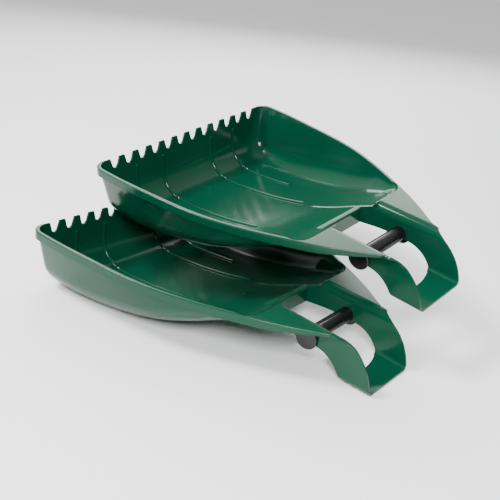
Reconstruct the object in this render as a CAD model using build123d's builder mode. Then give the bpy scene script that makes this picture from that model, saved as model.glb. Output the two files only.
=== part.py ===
import os
from math import atan2, cos, degrees, radians, sin, tan

from build123d import *

# A pair of leaf grabber hands, lying one on the other with the hollow side up.
# Each hand is one moulded scoop and one ribbed grip that snaps across its hand opening.
#
# A hand is modelled in its own frame: the rim lies in the plane Z = 0, the toothed edge is at -X,
# the wrist cuff is at +X, and X = 0 is where the bowl ends and the hand opening's arms begin.

# ---- driving dimensions, millimetres ----

# shell
wall = 2.2                      # moulded wall everywhere
rim_width = 5.2                 # flat top of the rim, measured across the tool
skirt_height = 11.0             # rim to the lower edge of the outer skirt
skirt_wall = 2.2

# plan of the rim: half widths at stations along the tool
front_x = -318.0                # outer face of the toothed wall
front_half_width = 170.5        # widest place, just behind the front corners
belly_x, belly_half_width = -212.0, 164.8
shoulder_x, shoulder_half_width = -110.0, 148.3
neck_x, neck_half_width = -23.0, 112.8
arm_x, arm_half_width = 42.0, 77.8
front_corner_radius = 18.0
corner_to_widest = 12.0         # from the end of a front corner back to the widest place
bowl_rear_x = -2.0              # where the bowl's floor comes up to the rim
rear_corner_radius = 20.0

# bowl
bowl_depth = 79.0               # rim to the floor at its deepest
deep_x = -250.0                 # where the floor is deepest
floor_rise = [                  # behind it: station, and depth as a share of bowl_depth
    (-200.0, 0.932), (-150.0, 0.805), (-105.0, 0.646), (-70.0, 0.472),
]
wall_draft = 11.0               # side walls lean out this many degrees
floor_radius = 32.0             # side walls into the floor
toe_radius = 36.0               # toothed wall into the floor
ramp_depth = 21.0               # depth of the ramp at ramp_x
ramp_x = -36.0
heel_depth = 3.0                # depth where the ramp reaches the bowl's rear edge

# teeth
tooth_pitch = 24.2
tooth_height = 15.4
notch_top_width = 14.0
notch_bottom_radius = 4.6

# ribs inside the bowl
rib_width = 5.6
rib_height = 2.4
rib_top = 21.0                  # a rib starts this far below the rim
inner_rib_end_x, outer_rib_end_x = -120.0, -188.0

# hand opening, its side walls and the cuff
opening_half_width = 41.2       # clear half width between the side walls
edge_radius = 11.5              # rounding from the arms' top faces into the side walls
lip_x = -20.8                   # rear face of the lip
lip_radius = 4.5
lip_top = 16.7                  # rim to the top of the lip
lip_bottom = 38.5               # rim to the lower edge of the lip's skirt
arm_tip_x = 77.0
side_wall_bottom = 32.2         # rim to the lower edge of the side walls beside the grip
keel_x = -112.0                 # where the side walls run out under the bowl
keel_depth = 51.0
wall_rise_x = 22.0              # beside the grip the side walls' lower edge runs straight
wall_drop_x = 54.0
cuff_depth = 57.8               # rim to the underside of the cuff
cuff_front_x, cuff_rear_x = 92.5, 134.0
cuff_corner_radius = 6.0
cuff_bow = 8.0                  # front edge of the cuff's floor curves back by this much
cuff_shoulder_x = 91.0          # where the cuff's rear edge turns down from the arms
cuff_back_x, cuff_back_depth = 117.0, 19.3      # a place on that edge, part way down

# grip
grip_x, grip_z = 41.0, -26.2    # axis of the grip, across the tool
grip_diameter = 19.6
grip_rib_count = 20
grip_rib_depth = 0.9
grip_neck_diameter = 12.0       # where it sits in the side walls
grip_flange_diameter = 30.0
grip_flange_thickness = 3.6
grip_clearance = 0.15
snap_mouth_width = 10.8         # narrowed way in to each slot

# how the upper hand lies on the lower one, at the middle of the toothed edge
stack_back = 1.15               # its toothed edge lies this far behind the lower one's
stack_overlap = 71.4            # its near side reaches this far past the lower hand's centre line
stack_rise = 9.5                # its rim is above the lower rim by its own depth and this much
stack_roll = 9.0                # its near side is lower by this many degrees
stack_pitch = 0.5
stack_yaw = -3.0

# ---- values worked out from the driving dimensions ----

reach = 400.0                   # larger than any part of a hand, for cutting tools
draft = radians(wall_draft)
tooth_count = 2 * int((front_half_width - front_corner_radius) / tooth_pitch) + 1
opening_outer = opening_half_width + wall
tip_half_width = opening_half_width + edge_radius + 1.5
rim_stations = [
    (front_x + front_corner_radius + corner_to_widest, front_half_width),
    (belly_x, belly_half_width),
    (shoulder_x, shoulder_half_width),
    (neck_x, neck_half_width),
    (arm_x, arm_half_width),
    (arm_tip_x, tip_half_width),
]


def rim_side(inset):
    """The rim's outer edge on one side, from the front corner to the arm's tip, moved in by inset."""
    points = [(x, half_width - inset) for x, half_width in rim_stations]
    return Spline(points, tangents=[(1, -0.02), (1, -0.62)])


def half_width_at(x):
    """Half width of the rim at a station along the tool."""
    edge = rim_side(0)
    if x <= rim_stations[0][0]:
        return rim_stations[0][1]
    crossing = edge.intersect(Axis((x, 0, 0), (0, 1, 0)))
    return crossing.Y if isinstance(crossing, Vector) else crossing[0].Y


def rim_plan(side_inset, front, rear, front_radius, rear_radius):
    """Plan face between the rim's two sides, trimmed at front and rear, with rounded corners."""
    with BuildSketch() as plan:
        with BuildLine():
            side = rim_side(side_inset)
            start, tip = side @ 0, side @ 1
            Line(start, (front_x - 20, start.Y))
            Line((front_x - 20, start.Y), (front_x - 20, -start.Y))
            Line((front_x - 20, -start.Y), (start.X, -start.Y))
            mirror(side, about=Plane.XZ)
            Line(tip, (tip.X, -tip.Y))
        make_face()
        with Locations((front, 0)):
            Rectangle(reach, reach, align=(Align.MAX, Align.CENTER), mode=Mode.SUBTRACT)
        if rear is not None:
            with Locations((rear, 0)):
                Rectangle(reach, reach, align=(Align.MIN, Align.CENTER), mode=Mode.SUBTRACT)
        fillet(plan.vertices().group_by(Axis.X)[0], front_radius)
        if rear_radius:
            fillet(plan.vertices().group_by(Axis.X)[-1], rear_radius)
    return plan.sketch


def bowl_section(half_width, depth):
    """Outline across the bowl at one station: flat floor, rounded corners, drafted side walls."""
    radius = min(floor_radius, 0.85 * depth / (1 - sin(draft)))
    straight = depth - radius * (1 - sin(draft))
    lean = straight * tan(draft)
    floor_edge = half_width - lean - radius * cos(draft)
    with BuildLine() as outline:
        wall_line = Line((half_width, 0), (half_width - lean, -straight))
        corner = TangentArc(wall_line @ 1, (floor_edge, -depth), tangent=wall_line % 1)
        Line(corner @ 1, (0, -depth))
        mirror(about=Plane.YZ)
        Line((-half_width, 0), (half_width, 0))
    return outline.line


def bowl_form(inset):
    """Solid inside the bowl's outer surface, or inside a surface moved in from it by inset."""
    outward = wall - inset
    front = front_x + inset
    stations = [(front_x - 10, bowl_depth), (deep_x, bowl_depth)]
    stations += [(x, share * bowl_depth) for x, share in floor_rise]
    stations += [(ramp_x, ramp_depth), (bowl_rear_x + 4, heel_depth)]
    with BuildPart() as form:
        for x, depth in stations:
            half_width = half_width_at(x) - rim_width + outward
            with BuildSketch(Plane(origin=(x, 0, 0), x_dir=(0, 1, 0), z_dir=(1, 0, 0))):
                with BuildLine():
                    add(bowl_section(half_width, depth + outward))
                make_face()
        loft()
        # toothed wall: upright, rounded into the floor and into the side walls
        with BuildSketch(Plane.XZ):
            with BuildLine():
                deepest = -(bowl_depth + outward + 0.6)
                toe = toe_radius + outward
                front_line = Line((front, 1), (front, deepest + toe))
                toe_arc = TangentArc(front_line @ 1, (front + toe, deepest), tangent=front_line % 1)
                Line(toe_arc @ 1, (reach, deepest))
                Line((reach, deepest), (reach, 1))
                Line((reach, 1), (front, 1))
            make_face()
        extrude(amount=reach, both=True, mode=Mode.INTERSECT)
        with BuildSketch(Plane.XY.offset(1)):
            add(rim_plan(rim_width - outward, front, bowl_rear_x + outward,
                         front_corner_radius - inset, rear_corner_radius + outward))
        extrude(amount=-reach, mode=Mode.INTERSECT)
    return form.part


def side_profile():
    """Side view of the side walls and cuff, from the keels under the bowl to the cuff's rear edge."""
    with BuildSketch() as profile:
        with BuildLine():
            lower = Spline((keel_x, -keel_depth), (lip_x, -(lip_bottom + 1.0)),
                           (wall_rise_x, -side_wall_bottom), tangents=[(1, 0.05), (1, 0.02)])
            flat = Line(lower @ 1, (wall_drop_x, -side_wall_bottom))
            halfway = (wall_drop_x + cuff_front_x) / 2
            front_edge = Spline(flat @ 1, (halfway, -side_wall_bottom - 4.4),
                                (cuff_front_x, -cuff_depth), tangents=[(1, 0), (0.45, -1)])
            floor = Line(front_edge @ 1, (cuff_rear_x, -cuff_depth))
            rear_edge = Spline(floor @ 1, (cuff_back_x, -cuff_back_depth), (cuff_shoulder_x, -2.3),
                               (arm_tip_x - 6, 0), tangents=[(-0.2, 1), (-1, 0)])
            Line(rear_edge @ 1, (keel_x, 0))
            Line((keel_x, 0), (keel_x, -keel_depth))
        make_face()
    return profile.sketch


def channel_section():
    """The side walls and cuff seen from behind: rounded in from the arms, down, and across."""
    with BuildSketch() as section:
        with BuildLine():
            brow = RadiusArc((opening_half_width + edge_radius, 0), (opening_half_width, -edge_radius),
                             -edge_radius)
            inner = Line(brow @ 1, (opening_half_width, cuff_corner_radius - cuff_depth))
            inner_corner = RadiusArc(inner @ 1, (opening_half_width - cuff_corner_radius + wall,
                                                 wall - cuff_depth), cuff_corner_radius - wall)
            Line(inner_corner @ 1, (0, wall - cuff_depth))
            Line((0, -cuff_depth), (opening_outer - cuff_corner_radius, -cuff_depth))
            outer_corner = RadiusArc((opening_outer - cuff_corner_radius, -cuff_depth),
                                     (opening_outer, cuff_corner_radius - cuff_depth), -cuff_corner_radius)
            outer = Line(outer_corner @ 1, (opening_outer, -edge_radius))
            under_brow = RadiusArc(outer @ 1, (opening_half_width + edge_radius, -wall),
                                   edge_radius - wall)
            Line(under_brow @ 1, brow @ 0)
            mirror(about=Plane.YZ)
        make_face()
    return section.sketch


def ribs():
    """Four rounded stiffening ribs that follow the bowl's inside, as one solid before joining."""
    with BuildPart() as rib_set:
        add(bowl_form(wall - 0.5))
        add(bowl_form(wall + rib_height), mode=Mode.SUBTRACT)
        with BuildSketch(Plane.XY):
            for place, end_x in ((2, inner_rib_end_x), (4, outer_rib_end_x)):
                length = end_x - front_x + 10
                for side in (-1, 1):
                    with Locations((end_x - length / 2, side * place * tooth_pitch)):
                        SlotOverall(length, rib_width)
        extrude(amount=-reach, mode=Mode.INTERSECT)
        with Locations((0, 0, -rib_top)):
            Box(2 * reach, 2 * reach, reach, align=(Align.CENTER, Align.CENTER, Align.MIN),
                mode=Mode.SUBTRACT)
    return rib_set.part


# ---- one hand, in its own frame ----

cavity = bowl_form(wall)
cavity_plan = rim_plan(rim_width, front_x + wall, bowl_rear_x, front_corner_radius - wall, rear_corner_radius)
outline = rim_plan(0, front_x, None, front_corner_radius, 0)
inside_skirt = rim_plan(skirt_wall, front_x + skirt_wall, None, front_corner_radius - skirt_wall, 0)

# side walls, cuff and the rounding in from the arms: one channel cut to the side view
with BuildPart() as channel:
    with BuildSketch(Plane.YZ.offset(keel_x)):
        add(channel_section())
    extrude(amount=cuff_rear_x - keel_x)
    with BuildSketch(Plane.XZ):
        add(side_profile())
    extrude(amount=reach, both=True, mode=Mode.INTERSECT)
    # front edge of the cuff's floor, curving back towards the middle
    with BuildSketch(Plane.XY.offset(-cuff_depth - 1)):
        with BuildLine():
            half = opening_half_width - cuff_corner_radius
            ThreePointArc((cuff_front_x, -half), (cuff_front_x + cuff_bow, 0), (cuff_front_x, half))
            Polyline((cuff_front_x, half), (cuff_front_x - 20, half), (cuff_front_x - 20, -half),
                     (cuff_front_x, -half))
        make_face()
    extrude(amount=wall + 3, mode=Mode.SUBTRACT)

with BuildPart() as scoop:
    add(bowl_form(0))
    # rim and the two arms, one flat ring with the skirt turned down round its edge
    with BuildSketch(Plane.XY):
        add(outline)
    extrude(amount=-wall)
    with BuildSketch(Plane.XY):
        add(outline)
        add(inside_skirt, mode=Mode.SUBTRACT)
    extrude(amount=-skirt_height)
    # the flat ring is open over the hand opening as far as the rounded edges
    with BuildSketch(Plane.XY):
        with Locations((bowl_rear_x + wall, 0)):
            Rectangle(reach, 2 * (opening_half_width + edge_radius), align=(Align.MIN, Align.CENTER))
    extrude(amount=-skirt_height - 1, mode=Mode.SUBTRACT)
    add(channel.part)
    add(cavity, mode=Mode.SUBTRACT)
    # finger gap between the lip and the cuff
    with BuildSketch(Plane.XY.offset(1)):
        with Locations((lip_x - 2 * lip_radius + 1.5, 0)):
            Rectangle(reach, 2 * opening_half_width, align=(Align.MIN, Align.CENTER))
    extrude(amount=-(cuff_depth - wall) - 0.5, mode=Mode.SUBTRACT)
    # lip: a rolled edge with a skirt below it, joining the two side walls
    with BuildSketch(Plane.XZ):
        with Locations((lip_x - lip_radius, -lip_top - lip_radius)):
            Circle(lip_radius)
        with Locations((lip_x, -lip_top - lip_radius)):
            Rectangle(wall, lip_bottom - lip_top - lip_radius, align=(Align.MAX, Align.MAX))
    extrude(amount=opening_half_width + wall / 2, both=True)
    # toothed edge
    with BuildSketch(Plane.YZ.offset(front_x - 1)):
        for notch in range(tooth_count - 1):
            middle = (notch - (tooth_count - 2) / 2) * tooth_pitch
            root = notch_bottom_radius - tooth_height
            with Locations((middle, root)):
                Circle(notch_bottom_radius)
            with BuildLine():
                Polyline((middle - notch_bottom_radius, root), (middle - notch_top_width / 2, 1),
                         (middle + notch_top_width / 2, 1), (middle + notch_bottom_radius, root), close=True)
            make_face()
    extrude(amount=wall + 2, mode=Mode.SUBTRACT)
    add(ribs())
    # slots that the grip snaps up into, open at the side walls' lower edge
    with BuildSketch(Plane.XZ):
        neck_radius = grip_neck_diameter / 2 + grip_clearance
        with Locations((grip_x, grip_z)):
            Circle(neck_radius)
        with BuildLine():
            mouth = -side_wall_bottom - 1
            Polyline((grip_x - snap_mouth_width / 2, mouth), (grip_x + snap_mouth_width / 2, mouth),
                     (grip_x + snap_mouth_width / 2, grip_z), (grip_x - snap_mouth_width / 2, grip_z),
                     close=True)
        make_face()
    extrude(amount=opening_outer + 1, both=True, mode=Mode.SUBTRACT)

with BuildPart() as grip:
    span = 2 * (opening_half_width - grip_clearance)
    flange_inner = opening_outer + grip_clearance
    # ribbed bar between the side walls
    with BuildSketch(Plane.XZ):
        with Locations((grip_x, grip_z)):
            Circle(grip_diameter / 2)
            with PolarLocations(grip_diameter / 2, grip_rib_count):
                Circle(grip_rib_depth, mode=Mode.SUBTRACT)
    extrude(amount=span / 2, both=True)
    # necks through the side walls
    with BuildSketch(Plane.XZ):
        with Locations((grip_x, grip_z)):
            Circle(grip_neck_diameter / 2)
    extrude(amount=flange_inner + 1, both=True)
    # round flanges outside the walls
    for side in (-1, 1):
        with BuildSketch(Plane.XZ.offset(side * flange_inner)):
            with Locations((grip_x, grip_z)):
                Circle(grip_flange_diameter / 2)
        extrude(amount=side * grip_flange_thickness)
    outer_rims = grip.edges().filter_by(GeomType.CIRCLE).sort_by(Axis.Y)
    fillet([outer_rims[0], outer_rims[-1]], grip_flange_thickness / 2)


# ---- the pair, standing on the ground plane ----

# a hand rests on its bowl and on the rear edge of its cuff, so the handle end is a little lower
rest_tilt = degrees(atan2(bowl_depth + wall - cuff_depth, cuff_rear_x - deep_x))
lower_place = Location((0, 0, 0), (0, rest_tilt, 0))
stack_offset = (front_x + stack_back, front_half_width - stack_overlap, bowl_depth + wall + stack_rise)
tooth_edge = Location((front_x, 0, 0))
turned = Location(stack_offset, (stack_roll, stack_pitch, stack_yaw))
upper_place = lower_place * turned * tooth_edge.inverse()

pieces = []
for hand, place in (("lower", lower_place), ("upper", upper_place)):
    for name, shape in (("scoop", scoop.part), ("grip", grip.part)):
        piece = shape.moved(place)
        piece.label = f"{hand}_{name}"
        pieces.append(piece)

bounds = pieces[0].bounding_box()
for piece in pieces[1:]:
    bounds = bounds.add(piece.bounding_box())
to_ground = Location((-bounds.center().X, -bounds.center().Y, -bounds.min.Z))

os.makedirs("parts", exist_ok=True)
for piece in pieces:
    standing = piece.moved(to_ground)
    standing.label = piece.label
    export_step(standing, f"parts/{piece.label}.step")
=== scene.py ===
from math import asin, atan2, cos, degrees, hypot, pi, radians, sin, sqrt, tan

import bmesh
import bpy
from mathutils import Matrix, Vector
from mathutils.geometry import interpolate_bezier


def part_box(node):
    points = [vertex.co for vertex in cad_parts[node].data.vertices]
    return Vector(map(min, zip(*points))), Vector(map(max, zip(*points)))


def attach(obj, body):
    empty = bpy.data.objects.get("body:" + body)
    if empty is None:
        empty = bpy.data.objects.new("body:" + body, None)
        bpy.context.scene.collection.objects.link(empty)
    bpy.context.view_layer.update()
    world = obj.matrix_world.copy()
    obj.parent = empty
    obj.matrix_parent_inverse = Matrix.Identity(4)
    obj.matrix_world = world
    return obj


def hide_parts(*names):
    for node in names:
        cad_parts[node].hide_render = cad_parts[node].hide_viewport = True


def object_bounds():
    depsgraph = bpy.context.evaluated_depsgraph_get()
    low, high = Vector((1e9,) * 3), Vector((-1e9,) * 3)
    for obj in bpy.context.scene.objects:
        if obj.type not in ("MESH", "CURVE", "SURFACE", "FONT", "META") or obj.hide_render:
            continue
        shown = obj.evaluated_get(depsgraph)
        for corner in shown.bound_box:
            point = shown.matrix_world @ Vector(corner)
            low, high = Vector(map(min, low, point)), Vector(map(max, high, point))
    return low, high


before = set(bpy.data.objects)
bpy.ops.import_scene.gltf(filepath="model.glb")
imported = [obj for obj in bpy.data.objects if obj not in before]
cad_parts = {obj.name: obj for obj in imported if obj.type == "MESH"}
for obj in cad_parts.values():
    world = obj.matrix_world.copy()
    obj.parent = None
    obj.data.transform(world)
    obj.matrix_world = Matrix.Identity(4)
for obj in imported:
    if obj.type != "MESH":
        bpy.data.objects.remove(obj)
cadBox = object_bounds()
mm = 0.001

# A pair of leaf grabber hands. One hand is shaped in millimetres in its own frame, where the rim lies
# in the plane z = 0, the teeth are at -x and the cuff at +x. It is then put where each hand's grip is.

def report(stage):
    print("stage:", stage)


def smoothStep(low, high, x):
    t = min(1, max(0, (x - low) / (high - low)))
    return t * t * (3 - 2 * t)


def smoothCurve(stations, endSlopes, x):
    # a smooth curve through the stations, straight beyond its ends
    last = len(stations) - 1
    if x <= stations[0][0]:
        return stations[0][1] + endSlopes[0] * (x - stations[0][0])
    if x >= stations[last][0]:
        return stations[last][1] + endSlopes[1] * (x - stations[last][0])
    k = max(n for n in range(last) if stations[n][0] <= x)

    def slope(n):
        if n in (0, last):
            return endSlopes[0 if n == 0 else 1]
        (x0, y0), (x1, y1), (x2, y2) = stations[n - 1:n + 2]
        before, after = (y1 - y0) / (x1 - x0), (y2 - y1) / (x2 - x1)
        return (before * (x2 - x1) + after * (x1 - x0)) / (x2 - x0)

    (xa, ya), (xb, yb) = stations[k], stations[k + 1]
    span = xb - xa
    t = (x - xa) / span
    return (ya * (1 + 2 * t) * (1 - t) ** 2 + slope(k) * span * t * (1 - t) ** 2
            + yb * t * t * (3 - 2 * t) + slope(k + 1) * span * t * t * (t - 1))


shell = {
    "wall": 2.2,
    "frontWall": 2.8,           # the toothed wall and its teeth
    "rimWidth": 5.2,
    "rimRound": 1.2,            # outer edge of the rim
    "rimInnerRound": 0.9,       # edge between the rim and the bowl's inside
    "skirtHeight": 11.0,
    "skirtWall": 2.0,
    "sideStations": [(-288, 170.5), (-212, 164.8), (-110, 148.3), (-23, 112.8), (42, 77.8), (77, 54.2)],
    "sideEndSlopes": (-0.02, -0.62),
    "frontX": -318.0,
    "frontCornerRadius": 18.0,
    "cornerSteps": 12,
    "tipX": 77.0,               # where the arms run out beside the cuff
    "toothedWallExtra": 0.4,    # the toothed wall is thicker than the skirt by this much
    "skirtTaperX": 12.0,        # from here back the skirt gets shallower
    "taperStartBelow": 0.5,     # and the taper starts this far below its edge
    "skirtEndDepth": 3.2,
    "outlineStep": 2.5,         # spacing of the points along the rim's sides
    "overlap": 0.02,            # solids that are joined never share a face
    "cutPast": 2.0,             # cutting solids reach this far past what they cut
}


def rimSide(x):
    return smoothCurve(shell["sideStations"], shell["sideEndSlopes"], x)


bowl = {
    "depthStations": [(-330, 79), (-250, 79), (-200, 73.6), (-150, 63.6), (-105, 51), (-70, 37.3),
                      (-36, 21), (8, 0.6)],
    "depthEndSlopes": (0.0, -0.48),
    "deepX": -250.0,
    "sideDraft": radians(11),
    "sideRadius": 32.0,         # side walls into the floor
    "frontRadius": 36.0,        # toothed wall into the floor
    "roundShare": 0.85,         # no rounding takes more of the depth than this
    "rearX": -2.0,
    "rearRadius": 12.0,
    "rearSample": 5.0,          # the rear wall is as deep as the floor this far ahead of it
    "frontCorners": (17.0, 22.0),   # plan corners, at the rim and on the floor
    "rearCorners": (20.0, 21.0),
    "straightRings": 12,        # rings down the walls, above the rounding into the floor
    "roundRings": 12,           # rings in that rounding
    "floorRings": 6,            # rings that turn the rounded corners into square ones
    "floorRingWidth": 23.0,
    "floorStep": 3.5,
    "outerColumns": 12,         # columns between the centre ones and the side walls
    "outsideTop": -0.5,         # lids that close the two surfaces
    "insideTop": 3.0,
}

ramp = {
    "halfWidth": 42.0,          # the centre panel that leads up to the lip
    "startX": -112.0,
    "fullX": -84.0,
    "step": 0.8,                # how far the panel stands down
    "edgeSpread": 1.6,
    "fixedHalfWidth": 52.0,     # columns this near the centre run straight back
    "fineStep": 0.8,
    "fineReach": 4.0,           # columns are fine this near the panel's edge
    "gateX": -90.0,
    "gateRadius": 1.3,          # the pip that the mould's gate leaves
    "gateSink": 0.9,
}


def floorDepth(x):
    return smoothCurve(bowl["depthStations"], bowl["depthEndSlopes"], x)


def arc(centre, radius, start, end, steps):
    # points on an arc, angles in degrees
    angles = [radians(start + (end - start) * n / steps) for n in range(steps + 1)]
    return [(centre[0] + radius * cos(a), centre[1] + radius * sin(a)) for a in angles]


def spread(start, end, step):
    count = max(1, round(abs(end - start) / step))
    return [start + (end - start) * n / count for n in range(count + 1)]


def newPiece(name, bm):
    bmesh.ops.recalc_face_normals(bm, faces=bm.faces)
    if bm.calc_volume(signed=True) < 0:
        bmesh.ops.reverse_faces(bm, faces=bm.faces)
    mesh = bpy.data.meshes.new(name)
    bm.to_mesh(mesh)
    bm.free()
    piece = bpy.data.objects.new(name, mesh)
    bpy.context.scene.collection.objects.link(piece)
    return piece


def prism(name, outline, place, length, bevel=0):
    # a flat outline given as 3-D points by place, drawn out along the vector length
    bm = bmesh.new()
    face = bm.faces.new([bm.verts.new(place(*point)) for point in outline])
    drawn = bmesh.ops.extrude_face_region(bm, geom=[face])
    moved = [v for v in drawn["geom"] if isinstance(v, bmesh.types.BMVert)]
    bmesh.ops.translate(bm, verts=moved, vec=length)
    if bevel:
        edges = [e for e in face.edges]
        bmesh.ops.bevel(bm, geom=edges, offset=bevel, offset_type="OFFSET", segments=4, profile=0.5,
                        affect="EDGES", material=-1, clamp_overlap=True)
    return newPiece(name, bm)


def combine(target, tool, operation):
    # joins or cuts target with tool, and removes the tool
    work = target.modifiers.new("combine", "BOOLEAN")
    work.operation = operation
    work.solver = "MANIFOLD"
    work.object = tool
    bpy.context.view_layer.update()
    evaluated = target.evaluated_get(bpy.context.evaluated_depsgraph_get())
    made = bpy.data.meshes.new_from_object(evaluated)
    target.modifiers.clear()
    target.data = made
    bpy.data.objects.remove(tool)
    report(f"{operation.lower()} leaves {len(made.polygons)} faces")
    return target


def wallSection(ring, depth, draft, radius):
    # how far in and how far down a ring of the grid lies, down a drafted wall and round into the floor
    radius = min(radius, bowl["roundShare"] * depth / (1 - sin(draft)))
    straight = depth - radius * (1 - sin(draft))
    lean = straight * tan(draft)
    reach = lean + radius * cos(draft)
    flat, rounded = bowl["straightRings"], bowl["roundRings"]
    if ring <= flat:
        share = ring / flat
        return lean * share, straight * share
    if ring <= flat + rounded:
        turn = draft + (pi / 2 - draft) * (ring - flat) / rounded
        return reach - radius * cos(turn), depth - radius + radius * sin(turn)
    share = (ring - flat - rounded) / bowl["floorRings"]
    return reach + bowl["floorRingWidth"] * share, depth


def bowlSurface(name, outward, top):
    # the bowl's inside surface, or one that stands outward from it, closed by a lid at height top
    rings = bowl["straightRings"] + bowl["roundRings"] + bowl["floorRings"]
    wallRings = bowl["straightRings"] + bowl["roundRings"]
    frontWall = shell["overlap"] + shell["wall"] - outward if outward else shell["frontWall"]
    frontX = shell["frontX"] + frontWall
    rearX = bowl["rearX"] + outward

    def depthAt(x):
        return floorDepth(x) + outward

    def sideAt(x):
        return rimSide(x) - shell["rimWidth"] + outward

    def sideSection(ring, x):
        return wallSection(ring, depthAt(x), bowl["sideDraft"], bowl["sideRadius"] + outward)

    def endSection(ring, atFront):
        if atFront:
            return wallSection(ring, depthAt(frontX), 0, bowl["frontRadius"] + outward)
        rearDepth = depthAt(rearX - bowl["rearSample"])
        return wallSection(ring, rearDepth, 0, bowl["rearRadius"] + outward)

    ends = {True: frontX, False: rearX}
    away = {True: 1, False: -1}
    gridX = {f: ends[f] + away[f] * endSection(rings, f)[0] for f in (True, False)}

    rows = spread(gridX[True], gridX[False], bowl["floorStep"])
    fixed = ramp["fixedHalfWidth"]
    inEdge, outEdge = [ramp["halfWidth"] + side * ramp["fineReach"] for side in (-1, 1)]
    middle = spread(0, inEdge, bowl["floorStep"])
    middle += spread(inEdge, outEdge, ramp["fineStep"])[1:]
    middle += spread(outEdge, fixed, bowl["floorStep"])[1:]
    outer = spread(0, 1, 1 / bowl["outerColumns"])[1:]

    def columnY(column, x):
        if column < len(middle):
            return middle[column]
        limit = sideAt(x) - sideSection(rings, x)[0]
        return fixed + (limit - fixed) * outer[column - len(middle)]

    lastColumn = len(middle) + len(outer) - 1
    across = 2 * (lastColumn + rings)
    along = len(rows) - 1 + 2 * rings

    def corner(ring, share, atFront):
        # a point on one ring's corner: along the end wall, round the corner, then along the side wall
        sign = away[atFront]
        x = gridX[atFront]
        y = columnY(lastColumn, x)
        endIn, endDown = endSection(ring, atFront)
        endX = ends[atFront] + sign * endIn
        atRim, onFloor = bowl["frontCorners" if atFront else "rearCorners"]
        radius = atRim + (onFloor - atRim) * min(1, ring / wallRings)
        room = min(abs(x - endX), sideAt(x) - sideSection(ring, x)[0] - y)
        radius = max(0.0, min(radius, room))
        turnX = endX + sign * radius
        cornerY = sideAt(turnX) - sideSection(ring, turnX)[0] - radius
        lengths = [max(0.0, cornerY - y), radius * pi / 2, abs(x - turnX)]
        distance = share * sum(lengths)
        if distance <= lengths[0]:
            px, py, blend = endX, y + distance, 0
        elif distance <= lengths[0] + lengths[1]:
            angle = (distance - lengths[0]) / radius
            px = turnX - sign * radius * cos(angle)
            py = cornerY + radius * sin(angle)
            blend = smoothStep(0, pi / 2, angle)
        else:
            px = turnX + sign * (distance - lengths[0] - lengths[1])
            py = sideAt(px) - sideSection(ring, px)[0]
            blend = 1
        if ring >= wallRings:
            return px, py, -depthAt(px)
        down = endDown + (sideSection(ring, px)[1] - endDown) * blend
        return px, py, -down

    def surfacePoint(i, j):
        sideways = 1 if j > across / 2 else -1
        jj = min(j, across - j)
        atFront = i < along / 2
        ii = min(i, along - i)
        row = min(max(i - rings, 0), len(rows) - 1)
        if ii >= rings:
            x = rows[row]
            if jj >= rings:
                y, z = columnY(lastColumn - (jj - rings), x), -depthAt(x)
            else:
                inward, down = sideSection(jj, x)
                y, z = sideAt(x) - inward, -down
        elif jj >= rings:
            inward, down = endSection(ii, atFront)
            x = ends[atFront] + away[atFront] * inward
            y = columnY(lastColumn - (jj - rings), gridX[atFront])
            z = -down if ii < wallRings else -depthAt(x)
        else:
            ring = min(ii, jj)
            steps = rings - ring
            if ii <= jj:
                share = (rings - jj) / (2 * steps) if steps else 0
            else:
                share = 0.5 + (ii - ring) / (2 * steps)
            x, y, z = corner(ring, share, atFront)
        # the centre panel of the ramp stands down a little
        panel = 1 - smoothStep(ramp["halfWidth"], ramp["halfWidth"] + ramp["edgeSpread"], abs(y))
        z -= ramp["step"] * panel * smoothStep(ramp["startX"], ramp["fullX"], x)
        return x, sideways * y, z

    bm = bmesh.new()
    bmesh.ops.create_grid(bm, x_segments=along, y_segments=across, size=1)
    for v in bm.verts:
        i = round((v.co.x + 1) / 2 * along)
        j = round((v.co.y + 1) / 2 * across)
        v.co = surfacePoint(i, j)
    border = [e for e in bm.edges if e.is_boundary]
    if not outward:
        border = roundUpwards(bm, border, shell["rimInnerRound"], 4)
        raised = bmesh.ops.extrude_edge_only(bm, edges=border)
        border = [e for e in raised["geom"] if isinstance(e, bmesh.types.BMEdge)]
    for v in {v for e in border for v in e.verts}:
        v.co.z = top
    bmesh.ops.holes_fill(bm, edges=[e for e in bm.edges if e.is_boundary], sides=0)
    return newPiece(name, bm)


def roundUpwards(bm, border, radius, steps):
    # the border turns outwards through a quarter round, and its new border is returned
    outwards = bm.verts.layers.float_vector.new("outwards")
    centre = sum((v.co for e in border for v in e.verts), Vector()) / (2 * len(border))
    for v in {v for e in border for v in e.verts}:
        near = [e.other_vert(v).co for e in v.link_edges if e.is_boundary]
        normal = (near[1] - near[0]).cross(Vector((0, 0, 1))).normalized()
        v[outwards] = normal if normal.dot(v.co - centre) > 0 else -normal
        v.co.z -= radius
    for n in range(steps):
        drawn = bmesh.ops.extrude_edge_only(bm, edges=border)["geom"]
        before, after = pi / 2 * n / steps, pi / 2 * (n + 1) / steps
        for v in [g for g in drawn if isinstance(g, bmesh.types.BMVert)]:
            v.co += v[outwards] * radius * (cos(before) - cos(after))
            v.co.z += radius * (sin(after) - sin(before))
        border = [e for e in bm.edges if e.is_boundary]
    return border


def rimOutline(inset, frontX, tipX):
    radius = shell["frontCornerRadius"] - inset
    start = shell["frontX"] + shell["frontCornerRadius"]
    half = rimSide(start) - inset
    side = arc((frontX + radius, half - radius), radius, 180, 90, shell["cornerSteps"])
    side += [(x, rimSide(x) - inset) for x in spread(start, tipX, shell["outlineStep"])[1:]]
    return side + [(x, -y) for x, y in reversed(side)]


def flat(x, y, z=0.0):
    return Vector((x, y, z))


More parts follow.
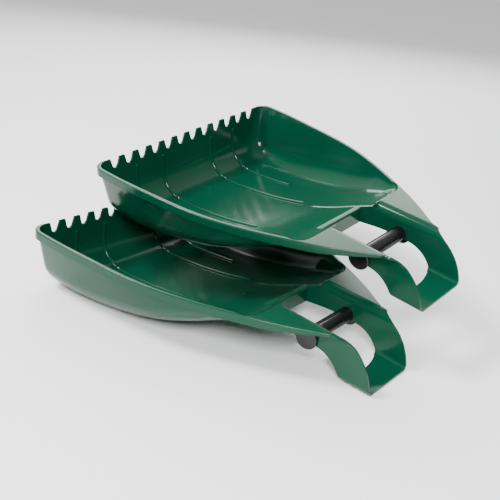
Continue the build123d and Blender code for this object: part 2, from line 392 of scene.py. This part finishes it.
def rimAndArms():
    deep, width, past = shell["skirtHeight"], shell["skirtWall"], shell["cutPast"]
    rim = prism("rim", rimOutline(0, shell["frontX"], shell["tipX"]), flat, Vector((0, 0, -deep)),
                bevel=shell["rimRound"])
    frontX = shell["frontX"] + width + shell["toothedWallExtra"]
    hollow = prism("hollow", rimOutline(width, frontX, shell["tipX"] - 1),
                   lambda x, y: flat(x, y, -shell["wall"]), Vector((0, 0, -deep)))
    combine(rim, hollow, "DIFFERENCE")
    half = opening["halfWidth"] + opening["browRadius"]
    front, rear = bowl["rearX"] + shell["wall"], shell["tipX"] + 50
    gap = prism("gap", [(front, -half), (front, half), (rear, half), (rear, -half)],
                lambda x, y: flat(x, y, past), Vector((0, 0, -deep - 2 * past)))
    combine(rim, gap, "DIFFERENCE")
    # the skirt runs out towards the arms' tips
    startX, tipX, low = shell["skirtTaperX"], shell["tipX"] + past, -deep - past
    under = [(startX, -deep - shell["taperStartBelow"]), (tipX, -shell["skirtEndDepth"]),
             (tipX, low), (startX, low)]
    reach = shell["sideStations"][0][1]
    taper = prism("taper", under, lambda x, z: Vector((x, reach, z)), Vector((0, -2 * reach, 0)))
    return combine(rim, taper, "DIFFERENCE")


opening = {
    "halfWidth": 41.2,
    "browRadius": 11.5,         # the arms' top faces round into the side walls
    "browLap": 0.7,             # and reach this far under the arms
    "lipX": -20.8,
    "lipRadius": 4.5,           # half the lip's width
    "lipEdgeRadius": 2.4,
    "lipSkirtTop": 3.0,         # the lip's underside, below the rounding of its edges
    "lipFrontUnder": (0.6, 1.0),
    "lipLap": 1.5,              # the lip reaches this far past the cut behind the bowl
    "lipTop": 16.7,
    "lipBottom": 38.5,
    "wallBottom": 32.2,
    "cuffDepth": 57.8,
    "cuffFrontX": 92.5,
    "cuffRearX": 134.0,
    "cuffCorner": 7.2,
    "cuffBow": 8.0,             # front edge of the cuff's floor curves back by this much
    "bowCutX": 15.0,
    "bowStep": 3.0,
    "keel": (-112.0, -51.0),
    "wallRiseX": 22.0,
    "wallDropX": 54.0,
    "cuffEndX": 71.0,           # where the cuff's rear edge meets the arms
    "curveSteps": 24,
    "keelHandles": [(-80.0, -49.0), (0.0, -32.2)],      # of the side view's three curves
    "dropHandles": [(66.0, -32.2), (82.0, -37.0)],
    "rearHandles": [(127.0, -18.5), (98.0, 0.0)],
    "cutRearX": 30.0,
    "cutBottom": 50.0,
}


def endView(y, z):
    return Vector((opening["keel"][0], y, z))


def bezier(start, handles, end):
    corners = [Vector((*point, 0)) for point in (start, *handles, end)]
    return [(p.x, p.y) for p in interpolate_bezier(*corners, opening["curveSteps"])]


def sideWallsAndCuff():
    # a channel section trimmed to its side view
    o = opening
    wall, deep, corner = shell["wall"], o["cuffDepth"], o["cuffCorner"]
    inner, outer = o["halfWidth"], o["halfWidth"] + wall
    brow, top = o["browRadius"], -shell["overlap"]
    plateEdge = inner + brow + o["browLap"]
    facing = [(plateEdge, top)] + arc((inner + brow, top - brow), brow, 90, 180, 14)
    facing += arc((inner - corner + wall, corner - deep), corner - wall, 0, -90, 8)
    backing = arc((outer - corner, corner - deep), corner, -90, 0, 10)
    backing += arc((inner + brow, top - brow), brow - wall, 180, 90, 10) + [(plateEdge, top - wall)]

    def mirrored(points):
        return [(-y, z) for y, z in reversed(points)]

    section = facing + mirrored(facing) + mirrored(backing) + backing
    length = o["cuffRearX"] - o["keel"][0]
    channel = prism("channel", section, endView, Vector((length, 0, 0)))
    keelX, low = o["keel"][0], -o["wallBottom"]
    floor = -deep - shell["overlap"] / 2
    profile = bezier(o["keel"], o["keelHandles"], (o["wallRiseX"], low))
    profile += bezier((o["wallDropX"], low), o["dropHandles"], (o["cuffFrontX"], floor))
    profile += bezier((o["cuffRearX"], floor), o["rearHandles"], (o["cuffEndX"], 0))
    profile += [(o["cuffEndX"], 1), (keelX, 1)]
    trim = prism("trim", profile,
                 lambda x, z: Vector((x, 2 * outer, z)), Vector((0, -4 * outer, 0)))
    combine(channel, trim, "INTERSECT")
    half = inner - corner + wall
    frontX, cutX = o["cuffFrontX"], o["cuffFrontX"] - o["bowCutX"]
    across = spread(-half, half, o["bowStep"])
    bow = [(frontX + o["cuffBow"] * (1 - (y / half) ** 2), y) for y in across]
    bow += [(cutX, half), (cutX, -half)]
    past = shell["cutPast"]
    cut = prism("bow", bow, lambda x, y: flat(x, y, -deep - past), Vector((0, 0, wall + 1.5 * past)))
    return combine(channel, cut, "DIFFERENCE")


def lip():
    o = opening
    r, wall = o["lipEdgeRadius"], shell["wall"]
    front, rear = o["lipX"] - 2 * o["lipRadius"], o["lipX"]
    low, bottom = -o["lipTop"] - r, -o["lipBottom"]
    inward, down = o["lipFrontUnder"]
    outline = arc((front + r, low), r, 180, 90, 6) + arc((rear - r, low), r, 90, 0, 8)
    outline += [(rear, bottom), (rear - wall, bottom), (rear - wall, low - o["lipSkirtTop"]),
                (front + inward, low - down)]
    half = o["halfWidth"] + wall / 2
    return prism("lip", outline, lambda x, z: Vector((x, half, z)), Vector((0, -2 * half, 0)))


teeth = {
    "count": 13,
    "pitch": 24.2,
    "height": 15.4,
    "topGap": 14.0,             # width of a notch at the tips
    "rootRadius": 4.6,
    "tipRadius": 2.6,
    "flankLean": 12,            # degrees
    "roundSteps": 6,
    "cutFront": 1.0,
    "cutBack": 1.4,
}


def notchCutters():
    # one notch between two teeth: round at the root, with the teeth's tips rounded into it
    t = teeth
    root, tip = t["rootRadius"], t["tipRadius"]
    lean, steps = t["flankLean"], t["roundSteps"]
    half = arc((t["topGap"] / 2 + tip, -tip), tip, 90, 180 + lean, steps)
    half += arc((0, root - t["height"]), root, -lean, -90, steps)
    outline = half + [(-y, z) for y, z in reversed(half[:-1])]
    outline = [(half[0][0], shell["cutPast"])] + outline + [(-half[0][0], shell["cutPast"])]
    cutters = bmesh.new()
    frontX = shell["frontX"] - t["cutFront"]
    depth = t["cutFront"] + shell["frontWall"] + t["cutBack"]
    for n in range(t["count"] - 1):
        middle = (n - (t["count"] - 2) / 2) * t["pitch"]
        face = cutters.faces.new([cutters.verts.new((frontX, middle + y, z)) for y, z in outline])
        drawn = bmesh.ops.extrude_face_region(cutters, geom=[face])["geom"]
        bmesh.ops.translate(cutters, vec=Vector((depth, 0, 0)),
                            verts=[g for g in drawn if isinstance(g, bmesh.types.BMVert)])
    return newPiece("notches", cutters)


ribs = {
    "halfWidth": 2.8,
    "height": 2.2,
    "root": 1.7,                # a rib's foot reaches this far into the wall
    "topDepth": 21.0,
    "places": [(48.4, -120.0), (96.8, -188.0)],     # distance from the centre line, rear end
    "step": 2.0,
    "toeSteps": 30,
    "endShare": 0.02,           # smallest squared share of the width at a rib's ends
    "weld": 0.001,
}


def ribBars():
    # rounded bars that follow the toothed wall down, round into the floor and back along it
    sink = ribs["halfWidth"] - ribs["height"]
    wallX = shell["frontX"] + shell["frontWall"]
    radius, deep = bowl["frontRadius"], floorDepth(shell["frontX"])
    bars = bpy.data.curves.new("ribs", "CURVE")
    bars.dimensions = "3D"
    bars.bevel_depth = ribs["halfWidth"]
    bars.bevel_resolution = 4
    bars.use_fill_caps = True
    for place, rearX in ribs["places"]:
        path = [(wallX - sink, z) for z in spread(-ribs["topDepth"], radius - deep, ribs["step"])]
        path += arc((wallX + radius, radius - deep), radius + sink, 180, 270, ribs["toeSteps"])[1:]
        floor = spread(wallX + radius, rearX, ribs["step"])[1:]
        path += [(x, -floorDepth(x) - sink) for x in floor]
        length = [0.0]
        for a, b in zip(path, path[1:]):
            length.append(length[-1] + hypot(b[0] - a[0], b[1] - a[1]))
        for side in (-1, 1):
            line = bars.splines.new("POLY")
            line.points.add(len(path) - 1)
            for point, (x, z), along in zip(line.points, path, length):
                end = min(along, length[-1] - along) / ribs["halfWidth"]
                point.co = (x, side * place, z, 1)
                point.radius = sqrt(max(ribs["endShare"], 1 - max(0, 1 - end) ** 2))
    holder = bpy.data.objects.new("ribs", bars)
    bpy.context.scene.collection.objects.link(holder)
    bpy.context.view_layer.update()
    evaluated = holder.evaluated_get(bpy.context.evaluated_depsgraph_get())
    made = bpy.data.meshes.new_from_object(evaluated)
    bpy.data.objects.remove(holder)
    bm = bmesh.new()
    bm.from_mesh(made)
    bmesh.ops.remove_doubles(bm, verts=bm.verts, dist=ribs["weld"])
    feet = bowlSurface("ribFeet", ribs["root"], bowl["outsideTop"])
    return combine(newPiece("ribs", bm), feet, "INTERSECT")


def gateMark():
    bm = bmesh.new()
    z = -floorDepth(ramp["gateX"]) - ramp["step"] * ramp["gateSink"]
    place = Matrix.Translation((ramp["gateX"], 0, z))
    bmesh.ops.create_uvsphere(bm, u_segments=16, v_segments=10, radius=ramp["gateRadius"], matrix=place)
    return newPiece("gate", bm)


gripSeat = {
    "place": (41.0, 0.0, -26.2),
    "neckRadius": 6.15,
    "mouthHalfWidth": 5.4,
}


def gripSlots():
    x, _, z = gripSeat["place"]
    radius, mouth = gripSeat["neckRadius"], gripSeat["mouthHalfWidth"]
    low = -opening["wallBottom"] - shell["cutPast"]
    turn = 90 - degrees(asin(mouth / radius))
    outline = arc((x, z), radius, -turn, 180 + turn, 36) + [(x - mouth, low), (x + mouth, low)]
    half = opening["halfWidth"] + shell["wall"] + 1
    return prism("slots", outline, lambda a, b: Vector((a, half, b)), Vector((0, -2 * half, 0)))


def fingerGap():
    half = opening["halfWidth"] - shell["overlap"]
    front = opening["lipX"] - 2 * opening["lipRadius"] + opening["lipLap"]
    rear, past = opening["cutRearX"], shell["cutPast"]
    return prism("fingerGap", [(front, -half), (front, half), (rear, half), (rear, -half)],
                 lambda x, y: flat(x, y, past), Vector((0, 0, -opening["cutBottom"] - past)))


def makeHand():
    hand = rimAndArms()
    combine(hand, bowlSurface("outside", shell["wall"], bowl["outsideTop"]), "UNION")
    combine(hand, sideWallsAndCuff(), "UNION")
    combine(hand, bowlSurface("inside", 0, bowl["insideTop"]), "DIFFERENCE")
    combine(hand, fingerGap(), "DIFFERENCE")
    combine(hand, lip(), "UNION")
    combine(hand, notchCutters(), "DIFFERENCE")
    combine(hand, ribBars(), "UNION")
    combine(hand, gateMark(), "UNION")
    combine(hand, gripSlots(), "DIFFERENCE")
    return hand


upperTurn = (9.0, 0.5, -3.0)    # how the upper hand is turned on the lower one, degrees


def gripCentre(node):
    low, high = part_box(node)
    return (low + high) / 2


def handPlaces():
    drop = floorDepth(bowl["deepX"]) + shell["wall"] - opening["cuffDepth"]
    tilt = atan2(drop, opening["cuffRearX"] - bowl["deepX"])
    lower = Matrix.Rotation(tilt, 3, "Y")
    roll, pitch, yaw = [Matrix.Rotation(radians(a), 3, axis) for a, axis in zip(upperTurn, "XYZ")]
    turns = {"lower": lower, "upper": lower @ roll @ pitch @ yaw}
    places = {}
    for hand, turn in turns.items():
        origin = gripCentre(hand + "_grip") - turn @ Vector(gripSeat["place"]) * mm
        places[hand] = Matrix.Translation(origin) @ turn.to_4x4() @ Matrix.Scale(mm, 4)
    return places


class Value:
    # wraps a socket, so that an expression on values adds Math nodes
    def __init__(self, tree, socket):
        self.tree, self.socket = tree, socket

    def math(self, operation, other, swapped=False):
        first, second = (other, self) if swapped else (self, other)
        settings = {"operation": operation}
        return Shader(self.tree).node("ShaderNodeMath", settings, {0: first, 1: second})

    def __add__(self, other):
        return self.math("ADD", other)

    def __radd__(self, other):
        return self.math("ADD", other, True)

    def __sub__(self, other):
        return self.math("SUBTRACT", other)

    def __rsub__(self, other):
        return self.math("SUBTRACT", other, True)

    def __mul__(self, other):
        return self.math("MULTIPLY", other)

    def __rmul__(self, other):
        return self.math("MULTIPLY", other, True)


class Shader:
    def __init__(self, tree):
        self.tree = tree

    def node(self, kind, settings=None, inputs=None, output=0):
        made = self.tree.nodes.new(kind)
        for name, value in (settings or {}).items():
            if name == "stops":
                stops = made.color_ramp.elements
                while len(stops) < len(value):
                    stops.new(0.5)
                for element, (place, colour) in zip(stops, value):
                    element.position, element.color = place, (*colour, 1)
            else:
                setattr(made, name, value)
        for name, value in (inputs or {}).items():
            if isinstance(value, Value):
                self.tree.links.new(value.socket, made.inputs[name])
            else:
                made.inputs[name].default_value = value
        return Value(self.tree, made.outputs[output]) if made.outputs else None


def newMaterial(name):
    material = bpy.data.materials.new(name)
    material.use_nodes = True
    tree = material.node_tree
    tree.nodes.clear()
    return material, Shader(tree)


def finishMaterial(shader, inputs):
    surface = shader.node("ShaderNodeBsdfPrincipled", {}, inputs)
    shader.node("ShaderNodeOutputMaterial", {}, {"Surface": surface})


glossPlastic = {
    "deep": (0.0001, 0.034, 0.0175),
    "bright": (0.0002, 0.062, 0.0300),
    "cloudScale": 9.0,
    "gloss": 0.16,
    "satin": 0.38,
    "sheen": 0.34,
    "ior": 1.46,
    "cloudRough": 0.06,
    "bumpStrength": 0.6,
    "grainScale": 900.0,
    "grainDepth": 0.00002,
    "rippleScale": 22.0,
    "rippleDepth": 0.0003,
}


def makeGlossPlastic():
    g = glossPlastic
    material, shader = newMaterial("greenPlastic")
    place = shader.node("ShaderNodeTexCoord", {}, {}, "Object")

    def noise(scale, detail=2.0):
        return shader.node("ShaderNodeTexNoise", {}, {"Vector": place, "Scale": scale, "Detail": detail})

    satin = shader.node("ShaderNodeAttribute", {"attribute_name": "satin"}, {}, "Fac")
    cloud = noise(g["cloudScale"])
    colour = shader.node("ShaderNodeMix", {"data_type": "RGBA"},
                         {0: cloud, 6: (*g["deep"], 1), 7: (*g["bright"], 1)}, 2)
    rough = g["gloss"] + satin * (g["satin"] - g["gloss"]) + (cloud - 0.5) * g["cloudRough"]
    ripple = noise(g["rippleScale"], 1.0) * g["rippleDepth"]
    grain = noise(g["grainScale"], 3.0) * satin * g["grainDepth"]
    bump = shader.node("ShaderNodeBump", {}, {"Height": ripple + grain, "Distance": 1.0,
                                              "Strength": g["bumpStrength"]})
    finishMaterial(shader, {"Base Color": colour, "Roughness": rough, "Normal": bump,
                            "IOR": g["ior"], "Specular IOR Level": g["sheen"]})
    return material


gripPlastic = {
    "dark": (0.002, 0.002, 0.0023),
    "worn": (0.006, 0.006, 0.0065),
    "rough": 0.24,
    "ior": 1.5,
    "cloudScale": 60.0,
    "cloudRough": 0.2,
    "bumpStrength": 0.5,
    "grainScale": 700.0,
    "grainDepth": 0.00004,
}


def makeGripPlastic():
    g = gripPlastic
    material, shader = newMaterial("blackPlastic")
    place = shader.node("ShaderNodeTexCoord", {}, {}, "Object")
    cloud = shader.node("ShaderNodeTexNoise", {}, {"Vector": place, "Scale": g["cloudScale"],
                                                   "Detail": 4.0})
    grain = shader.node("ShaderNodeTexNoise", {}, {"Vector": place, "Scale": g["grainScale"]})
    colour = shader.node("ShaderNodeMix", {"data_type": "RGBA"},
                         {0: cloud, 6: (*g["dark"], 1), 7: (*g["worn"], 1)}, 2)
    rough = g["rough"] + (cloud - 0.5) * g["cloudRough"]
    bump = shader.node("ShaderNodeBump", {}, {"Height": grain * g["grainDepth"], "Distance": 1.0,
                                              "Strength": g["bumpStrength"]})
    finishMaterial(shader, {"Base Color": colour, "Roughness": rough, "Normal": bump, "IOR": g["ior"]})
    return material


finish = {
    "weld": 0.004,              # points nearer than this become one
    "sharpAngle": radians(32),
    "levelSlope": 0.99,
    "levelReach": 0.1,
}


def markSatin(mesh):
    # the flat tops of the rim, the arms and the lip have a fine texture from the mould
    values = mesh.attributes.new("satin", "FLOAT", "FACE").data
    for polygon in mesh.polygons:
        height = polygon.center.z
        level = polygon.normal.z > finish["levelSlope"]
        near = min(abs(height), abs(height + opening["lipTop"])) < finish["levelReach"]
        values[polygon.index].value = 1.0 if level and near else 0.0


def finishHand(hand):
    bm = bmesh.new()
    bm.from_mesh(hand.data)
    bmesh.ops.remove_doubles(bm, verts=bm.verts, dist=finish["weld"])
    bmesh.ops.dissolve_degenerate(bm, edges=bm.edges, dist=finish["weld"])
    bmesh.ops.triangulate(bm, faces=[f for f in bm.faces if len(f.verts) > 4])
    bm.to_mesh(hand.data)
    bm.free()
    markSatin(hand.data)
    for polygon in hand.data.polygons:
        polygon.use_smooth = True
    hand.data.set_sharp_from_angle(angle=finish["sharpAngle"])


report("shaping one hand")
hand = makeHand()
finishHand(hand)
greenPlastic, blackPlastic = makeGlossPlastic(), makeGripPlastic()
report("placing the two hands")
for name, place in handPlaces().items():
    piece = bpy.data.objects.new(name + "_hand_shell", hand.data.copy())
    bpy.context.scene.collection.objects.link(piece)
    piece.data.transform(place)
    piece.data.materials.clear()
    piece.data.materials.append(greenPlastic)
    even = piece.modifiers.new("even", "WEIGHTED_NORMAL")
    even.keep_sharp = True
    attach(piece, name + "_hand")
    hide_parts(name + "_scoop")
    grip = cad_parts[name + "_grip"]
    for slot in grip.material_slots:
        slot.material = blackPlastic
bpy.data.objects.remove(hand)


stand = {
    "floorSize": 40.0,
    "floorColour": (0.92, 0.92, 0.92),
    "floorRough": 0.7,
    "worldStrength": 1.0,
    "brightSide": (-0.58, 0.78, 0.24),      # the studio is bright behind the hands, dim in front
    "sky": [(0.0, (0.22, 0.22, 0.22)), (0.40, (0.30, 0.30, 0.30)), (0.72, (1.05, 1.05, 1.05)),
            (1.0, (1.15, 1.15, 1.15))],
    "camera": (406.0, -685.0, 428.3),       # in the lower hand's frame, as are the next two
    "aim": (-17.4, -103.0, 79.0),
    "up": (-0.3867, 0.2512, 0.8873),
    "lens": 53.17,
    "sensor": 36.0,
}

# name, direction from the hands, distance, width, height, power
lights = [
    ("backPanel", (-0.55, 0.74, 0.60), 2.4, 2.2, 1.0, 60),
    ("key", (0.45, -0.67, 0.62), 1.8, 0.6, 0.6, 45),
    ("top", (-0.5, -0.40, 0.80), 1.8, 0.5, 0.4, 45),
]


def makeStage():
    bm = bmesh.new()
    bmesh.ops.create_grid(bm, x_segments=1, y_segments=1, size=stand["floorSize"] / 2)
    floor = newPiece("floor", bm)
    material, shader = newMaterial("paleFloor")
    finishMaterial(shader, {"Base Color": (*stand["floorColour"], 1), "Roughness": stand["floorRough"]})
    floor.data.materials.append(material)
    world = bpy.data.worlds.new("studio")
    bpy.context.scene.world = world
    world.use_nodes = True
    world.node_tree.nodes.clear()
    sky = Shader(world.node_tree)
    direction = sky.node("ShaderNodeTexCoord", {}, {}, "Generated")
    facing = sky.node("ShaderNodeVectorMath", {"operation": "DOT_PRODUCT"},
                      {0: direction, 1: stand["brightSide"]}, "Value")
    colour = sky.node("ShaderNodeValToRGB", {"stops": stand["sky"]}, {"Fac": facing * 0.5 + 0.5})
    lit = sky.node("ShaderNodeBackground", {}, {"Color": colour, "Strength": stand["worldStrength"]})
    sky.node("ShaderNodeOutputWorld", {}, {"Surface": lit})
    low, high = cadBox
    centre = (low + high) / 2
    for name, direction, distance, width, height, power in lights:
        lamp = bpy.data.lights.new(name, "AREA")
        lamp.shape, lamp.size, lamp.size_y, lamp.energy = "RECTANGLE", width, height, power
        holder = bpy.data.objects.new(name, lamp)
        bpy.context.scene.collection.objects.link(holder)
        aim = Vector(direction).normalized()
        holder.location = centre + aim * distance
        holder.rotation_euler = aim.to_track_quat("Z", "Y").to_euler()


def makeCamera():
    place = handPlaces()["lower"]
    turn = place.to_3x3().normalized()
    location = place @ Vector(stand["camera"])
    back = (location - place @ Vector(stand["aim"])).normalized()
    up = turn @ Vector(stand["up"])
    right = up.cross(back).normalized()
    camera = bpy.data.objects.new("camera", bpy.data.cameras.new("camera"))
    bpy.context.scene.collection.objects.link(camera)
    facing = Matrix((right, back.cross(right), back)).transposed()
    camera.matrix_world = Matrix.Translation(location) @ facing.to_4x4()
    camera.data.lens = stand["lens"]
    camera.data.sensor_width = stand["sensor"]
    bpy.context.scene.camera = camera


report("floor, light and camera")
makeStage()
makeCamera()
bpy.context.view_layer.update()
report("done")
